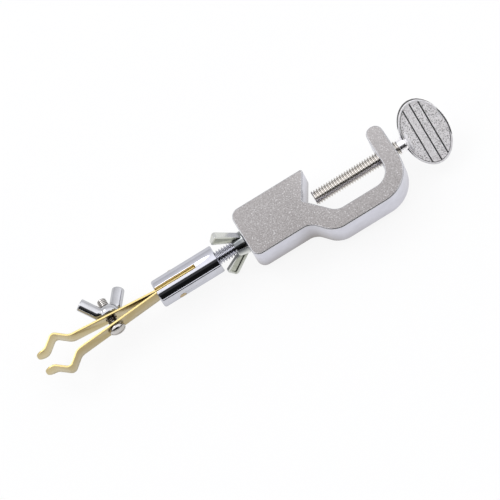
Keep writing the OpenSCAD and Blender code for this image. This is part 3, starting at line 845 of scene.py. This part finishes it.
# Painted light and shade: the crown of the thread stays bright and its sides go grey, less so at the front,
# while painted shade darkens the root and one flank of each tooth.
lit_crown = nickel.mm(at, "Z").math("DIVIDE", reach).above(0.55, 0.92)
front = 1 - nickel.mm(at, "Y").math("DIVIDE", reach).above(-0.65, -0.4)
LIT_PLATE, SHADED, TOOTH_SHADE = (1.0, 0.97, 0.92), (0.20, 0.185, 0.17), (0.17, 0.15, 0.13)
body = nickel.mix(lit_crown, nickel.mix(0.62 - front * 0.5, LIT_PLATE, SHADED), LIT_PLATE)
painted_tooth_shade = (flank + root).math("MINIMUM", 1) * (0.82 - lit_crown * 0.34 - front * 0.45)
body = nickel.mix(painted_tooth_shade, body, TOOTH_SHADE)
nickel.set("Base Color", nickel.mix(grime.above(0.5, 0.75) * 0.3, body, (0.46, 0.41, 0.35)))
nickel.set("Roughness", 0.14 + grime * 0.12)
nickel.bump(grime, 0.02, 0.4)
nickel.give(clamp_screw)

# %% Chromium plate on the rod, the horned nut and the jaw screw
def chrome(name, slot, colour, smudge_colour, rough, bare_or_shaded, bare_or_shade_colour, *pieces):
    """Bright plate with smudges, and another colour where a given function says so: bare metal on the rod,
    painted shade on the jaw screw.
    """
    finish = Finish(name, slot, Metallic=1.0, Specular_Tint=(0.75, 0.75, 0.77))
    at = finish.coordinates()
    smudge = finish.noise(at, 4.5, 5, 0.6)
    fine = finish.noise(at, 0.7, 2)
    plate = finish.mix(smudge.above(0.35, 0.75), colour, smudge_colour)
    bare_or_shaded_share = bare_or_shaded(finish, at, fine)
    finish.set("Base Color", finish.mix(bare_or_shaded_share, plate, bare_or_shade_colour))
    finish.set("Roughness", rough + smudge.above(0.4, 0.8) * 0.07 + fine * 0.03 + bare_or_shaded_share * 0.3)
    finish.bump(smudge, 0.012, 0.35)
    finish.give(*pieces)


def saw_cut_walls(finish, at, fine):
    """The slot is sawn after plating, so its walls show the brass of the rod."""
    across = 1 - finish.mm(at, "Y").math("ABSOLUTE").above(SLOT_W / 2, SLOT_W / 2 + 0.02)
    slot_end = MOUTH_X + SLOT_DEPTH
    return across * (1 - finish.mm(at, "X").above(slot_end + 0.1, slot_end + 0.2))


def shaded_middle(finish, at, fine):
    """Painted shade darkens the thread between the two strips, in blotches."""
    across = finish.mm(at, "Y").math("ABSOLUTE")
    return (1 - across.above(2.2, 2.7)) * fine.above(0.35, 0.55)


def no_bare_place(finish, at, fine):
    return 0


chrome("rod_chrome", "chromed_rod", (0.60, 0.605, 0.66), (0.54, 0.545, 0.58), 0.05,
       saw_cut_walls, (0.92, 0.84, 0.62), rod)
chrome("horn_chrome", "chromed_nut", (0.58, 0.585, 0.61), (0.50, 0.50, 0.51), 0.08,
       no_bare_place, (0, 0, 0), jaw_nut)
# The jaw screw gets painted shade on its middle, between the two strips.
chrome("screw_chrome", "jaw_screw_steel", (0.60, 0.58, 0.56), (0.46, 0.44, 0.41), 0.12,
       shaded_middle, (0.07, 0.05, 0.04), jaw_screw)

# %% Zinc-plated forged nut
zinc = Finish("passivated_zinc", "galvanised_nut", Metallic=1.0)
at = zinc.coordinates()
patch = zinc.noise(at, 2.6, 4)
speck = zinc.noise(at, 0.5, 1).above(0.72, 0.76)
pointiness = zinc.node("NewGeometry", {}, "Pointiness")
# A painted highlight lightens the ridges, and painted shade darkens the creases.
ridge_highlight = pointiness.above(0.5, 0.56)
crease_shade = (1 - pointiness.above(0.42, 0.465)) * zinc.mm(at, "Z").above(-1, 1)
body = zinc.mix(patch.above(0.3, 0.7), (0.38, 0.395, 0.33), (0.50, 0.515, 0.45))
body = zinc.mix(ridge_highlight, body, (0.70, 0.71, 0.68))
body = zinc.mix(crease_shade * 0.85, body, (0.09, 0.095, 0.10))
# A painted dark reflection covers the upper boss between the wings, and painted shade darkens the lower
# wing's inner edge.
upper = zinc.facing("Z").above(0.1, 0.5)
inside = (1 - zinc.from_x_axis(at).above(4.9, 6.2)) * upper
body = zinc.mix(inside * 0.85, body, (0.11, 0.12, 0.135))
lower_wing = 1 - zinc.mm(at, "Z").above(-4.5, -3)
inner_edge_shade = upper * lower_wing * (1 - zinc.facing("X").above(-0.5, -0.35))
body = zinc.mix(inner_edge_shade * 0.85, body, (0.13, 0.135, 0.14))
zinc.set("Base Color", zinc.mix(speck * 0.7, body, (0.55, 0.28, 0.10)))
zinc.set("Roughness", 0.18 + patch * 0.14 - inside * 0.08)
zinc.bump(patch, 0.06, 0.5)
zinc.give(swivel_nut)

# %% [markdown]
# ### The thumb head
#
# The field is stippled: a fine raised grain with dark hollows, rubbed smooth in the band
# beside the first groove. The rim and the neck are brighter where fingers polish them.
# Painted shade blackens the grooves and the foot of the rim, away from the rim's
# highlight. The head is turned about its screw, so the coordinates are turned back first.
# Then the height over the oval's middle plane tells rim, field and groove apart, and an
# oval distance finds the foot of the rim.

# %% Stippled head
head = Finish("stippled_head", "thumb_head", Metallic=1.0)
at = head.coordinates(turned_by=-HEAD_TURN)
height = head.mm(at, "Z").math("ABSOLUTE")
across, along = head.mm(at, "X") - HEAD_MID, head.mm(at, "Y")
FIELD = HEAD_T / 2 - SUNK
in_field = (1 - height.above(FIELD + 0.1, FIELD + 0.35)) * across.above(-10.7, -9.5)
groove = 1 - height.above(FIELD - 0.45, FIELD - 0.1)
on_rim = height.above(FIELD + 0.3, FIELD + 0.45)
front = across.above(-9.7, -9.1) * (1 - across.above(8.9, 9.3))
oval = ((across * (1 / (HEAD_A - RIM))).math("POWER", 2)
        + (along * (1 / (HEAD_B - RIM))).math("POWER", 2))
outside = oval.above(1.04, 1.1)
below_highlight = (along * -0.8 - across).above(-8.5, -5.5)
# Painted shade: a dark line along the foot of the rim, except on the side of the rim's highlight.
rim_foot_shade = oval.above(0.955, 0.985) * (1 - oval.above(1.01, 1.04)) * below_highlight
worn_band = across.above(-GROOVE_PITCH, -GROOVE_PITCH + 0.45) * (1 - across.above(-0.4, 0.0))
stipple = head.noise(at, 0.42, 3, 0.7)
tone = head.noise(at, 3.0, 3)
hollow = head.mix(worn_band * 0.75, (0.24, 0.225, 0.225), (0.70, 0.68, 0.67))
body = head.mix(stipple.above(0.36, 0.48), hollow, (1.0, 0.985, 0.99))
body = head.mix(in_field, (1.0, 0.99, 1.0), body)
body = head.mix(tone.above(0.45, 0.8) * 0.15, body, (0.5, 0.49, 0.49))
body = head.mix(rim_foot_shade * front * 0.85, body, (0.06, 0.055, 0.055))
# Painted shade makes the grooves nearly black.
head.set("Base Color", head.mix(groove * in_field * front, body, (0.035, 0.033, 0.035)))
rim_and_wall = (on_rim * 0.42 + outside * (1 - on_rim) * 0.30) * front
head.set("Roughness", 0.20 + in_field * 0.50 * (1 - outside) + rim_and_wall + tone * 0.08)
head.bump(stipple * in_field + tone * 0.3, 0.16, 0.75)
head.give(thumb_head)

# %% [markdown]
# ### Brass
#
# The strips are rolled brass: satin faces with fine lines along their length, paler
# where they are worn, at the tips and on the upper strip. Their sheared edges are
# brighter and yellower: bare metal with a painted highlight. The rivet is dull and brown.

# %% Spring brass
brass = Finish("spring_brass", "spring_brass", Metallic=1.0)
at = brass.coordinates()
side = brass.facing("Z").math("ABSOLUTE").above(0.6, 0.9)
lines = brass.noise(at, 0.5, 2, 0.5, (0.06, 1, 1))
worn = brass.noise(at, 3.5, 4)
tip = 1 - brass.mm(at, "X").above(-127, -117)
face = brass.mix(lines, (0.37, 0.29, 0.135), (0.46, 0.37, 0.185))
face = brass.mix(worn.above(0.45, 0.7) * 0.5, face, (0.49, 0.41, 0.235))
upper_one = brass.mm(at, "Y").above(-0.8, 0.8)
face = brass.mix(tip * 0.6 + upper_one * (1 - tip) * 0.45, face, (0.66, 0.56, 0.32))
# The sheared edges get a brighter, yellower colour: bare metal with a painted highlight.
brass.set("Base Color", brass.mix(side, face, (0.74, 0.585, 0.26)))
brass.set("Roughness", 0.24 + worn * 0.14 - side * 0.08)
brass.bump(lines * 0.5 + worn * 0.4, 0.03, 0.5)
brass.give(upper_strip, lower_strip)

# %% Dull brass rivet
rivet = Finish("dull_brass", "pin_brass", Metallic=1.0)
at = rivet.coordinates()
stain = rivet.noise(at, 0.9, 4)
rivet.set("Base Color", rivet.mix(stain, (0.34, 0.24, 0.12), (0.60, 0.48, 0.28)))
rivet.set("Roughness", 0.3 + stain * 0.2)
rivet.bump(stain, 0.08, 0.6)
rivet.give(pin)

# %% [markdown]
# ## What moves with what
#
# A rigid piece rides on one CAD body. A strip is held in the rod, and the real spring
# bends over the first centimetre outside the mouth. Here each strip only keeps its place
# baked into its mesh, and its CAD nodes are hidden.

# %% Ride and replace
for piece, body, node in ((casting, "casting", "casting"),
                          (clamp_screw, "clamp_screw", "clamp_screw"),
                          (thumb_head, "thumb_head", "thumb_head"),
                          (rod, "swivel", "swivel_rod"),
                          (pin, "swivel", "cross_pin"),
                          (swivel_nut, "swivel_nut", "swivel_wing_nut"),
                          (jaw_screw, "jaw_screw", "jaw_screw"),
                          (jaw_nut, "jaw_nut", "jaw_wing_nut")):
    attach(piece, body)
    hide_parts(node)
for piece, name in ((upper_strip, "upper"), (lower_strip, "lower")):
    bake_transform(piece)
    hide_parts(name + "_strip_root", name + "_strip")
print("every CAD node has its piece")

# %% [markdown]
# ## Camera
#
# The photograph looks down on the flats from 21 degrees off the vertical, with the
# clamp turned 31.5 degrees in the picture, through a long lens.

# %% Camera
TILT, ROLL = math.radians(21), math.radians(31.5)
AIM, AWAY, SENSOR, LENS = Vector((-29.7, -4.56, 0)) * MM, 1.5, 36, 253.5
back = Vector((0, -math.sin(TILT), math.cos(TILT)))
up_flat = Vector((0, math.cos(TILT), math.sin(TILT)))
right = Vector((1, 0, 0)) * math.cos(ROLL) - up_flat * math.sin(ROLL)
up = Vector((1, 0, 0)) * math.sin(ROLL) + up_flat * math.cos(ROLL)
bpy.ops.object.select_all(action="DESELECT")
bpy.ops.object.camera_add()
camera = bpy.context.active_object
axes = Matrix((right, up, back)).transposed().to_4x4()
camera.matrix_world = Matrix.Translation(AIM + back * AWAY) @ axes
camera.data.sensor_width, camera.data.lens = SENSOR, LENS
bpy.context.scene.camera = camera
print("the view is", round(SENSOR / LENS * AWAY / MM), "mm wide")

# %% [markdown]
# ## Light, backdrop and floor
#
# Bright metal shows what stands round it. A photographer lights a clamp like this with
# two long soft boxes, one behind and one in front, and the dark gap between them draws
# the black line along every rod. The world here is that pair of boxes: its brightness
# depends only on the angle round the X axis, given as a share of half a turn from +Y
# over the top to -Y. The camera sees plain white instead. The floor is white paper that
# glows enough to meet the backdrop without a seam and still holds a soft shadow.

# %% World
world = bpy.data.worlds.new("studio")
bpy.context.scene.world = world
world.use_nodes = True
sky = world.node_tree
sky.nodes.clear()


def sky_node(kind, **settings):
    node = sky.nodes.new("ShaderNode" + kind)
    for setting, value in settings.items():
        setattr(node, setting, value)
    return node


direction = sky_node("TexCoord")
parts = sky_node("SeparateXYZ")
angle = sky_node("Math", operation="ARCTAN2")
share = sky_node("Math", operation="MULTIPLY")
share.inputs[1].default_value = 1 / math.pi
ramp = sky_node("ValToRGB")
STUDIO = [(0.00, 0.80), (0.06, 0.74), (0.13, 0.84), (0.20, 0.92), (0.31, 1.08), (0.37, 1.30),
          (0.56, 1.50), (0.59, 1.45), (0.612, 0.05), (0.64, 0.05), (0.67, 0.075), (0.705, 0.06),
          (0.725, 0.01), (0.920, 0.01), (0.930, 1.5), (0.950, 1.5), (0.958, 0.01), (1.0, 0.01)]
while len(ramp.color_ramp.elements) < len(STUDIO):
    ramp.color_ramp.elements.new(0.5)
for stop, (where, level) in zip(ramp.color_ramp.elements, STUDIO):
    stop.position = where
    stop.color = (level, level, level * 1.03, 1)
studio, backdrop = sky_node("Background"), sky_node("Background")
backdrop.inputs[0].default_value = (1, 1, 1, 1)
path, choose, result = sky_node("LightPath"), sky_node("MixShader"), sky_node("OutputWorld")
for source, target in ((direction.outputs["Generated"], parts.inputs[0]),
                       (parts.outputs["Z"], angle.inputs[0]), (parts.outputs["Y"], angle.inputs[1]),
                       (angle.outputs[0], share.inputs[0]), (share.outputs[0], ramp.inputs[0]),
                       (ramp.outputs[0], studio.inputs[0]), (path.outputs["Is Camera Ray"], choose.inputs[0]),
                       (studio.outputs[0], choose.inputs[1]), (backdrop.outputs[0], choose.inputs[2]),
                       (choose.outputs[0], result.inputs[0])):
    sky.links.new(source, target)
print("studio set up with", len(STUDIO), "levels")

# %% Lamps
def lamp(name, place, size, power):
    bpy.ops.object.select_all(action="DESELECT")
    bpy.ops.object.light_add(type="AREA", location=Vector(place))
    light = bpy.context.active_object
    light.name = name
    light.data.shape, light.data.size, light.data.energy = "DISK", size, power
    light.rotation_euler = (AIM - Vector(place)).to_track_quat("-Z", "Y").to_euler()


lamp("soft_box", (-0.5, 0.7, 1.1), 0.7, 3)
lamp("fill", (0.7, -0.5, 0.7), 0.6, 1)

# %% Floor
FLOOR_Z, GLOW_SHARE = -13.4 * MM, 0.86
floor = start("floor", bpy.ops.mesh.primitive_plane_add, size=12, location=(0, 0, FLOOR_Z))
floor_paint = Finish("white_paper", "floor", Roughness=0.9)
floor_paint.set("Base Color", (0.86, 0.86, 0.87))
glow = floor_paint.node("Emission", {"Color": (1, 1, 1), "Strength": 1.02})
rays = floor_paint.tree.nodes.new("ShaderNodeLightPath")
by_camera, in_gloss = (Wire(floor_paint.tree, rays.outputs[name])
                       for name in ("Is Camera Ray", "Is Glossy Ray"))
paper = Wire(floor_paint.tree, floor_paint.shader.outputs[0])
share_of_glow = (by_camera + in_gloss).math("MINIMUM", 1) * GLOW_SHARE
blend_in = floor_paint.node("MixShader", {0: share_of_glow, 1: paper, 2: glow})
floor_paint.tree.links.new(blend_in.out, floor_paint.tree.nodes["Material Output"].inputs["Surface"])
floor.data.materials.append(floor_paint.material)
floor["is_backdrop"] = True

# %% View settings, sizes and the end
bpy.context.scene.view_settings.view_transform = "Standard"
low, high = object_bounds()
print("the dressed part in mm:", [round((b - a) / MM, 1) for a, b in zip(low, high)])
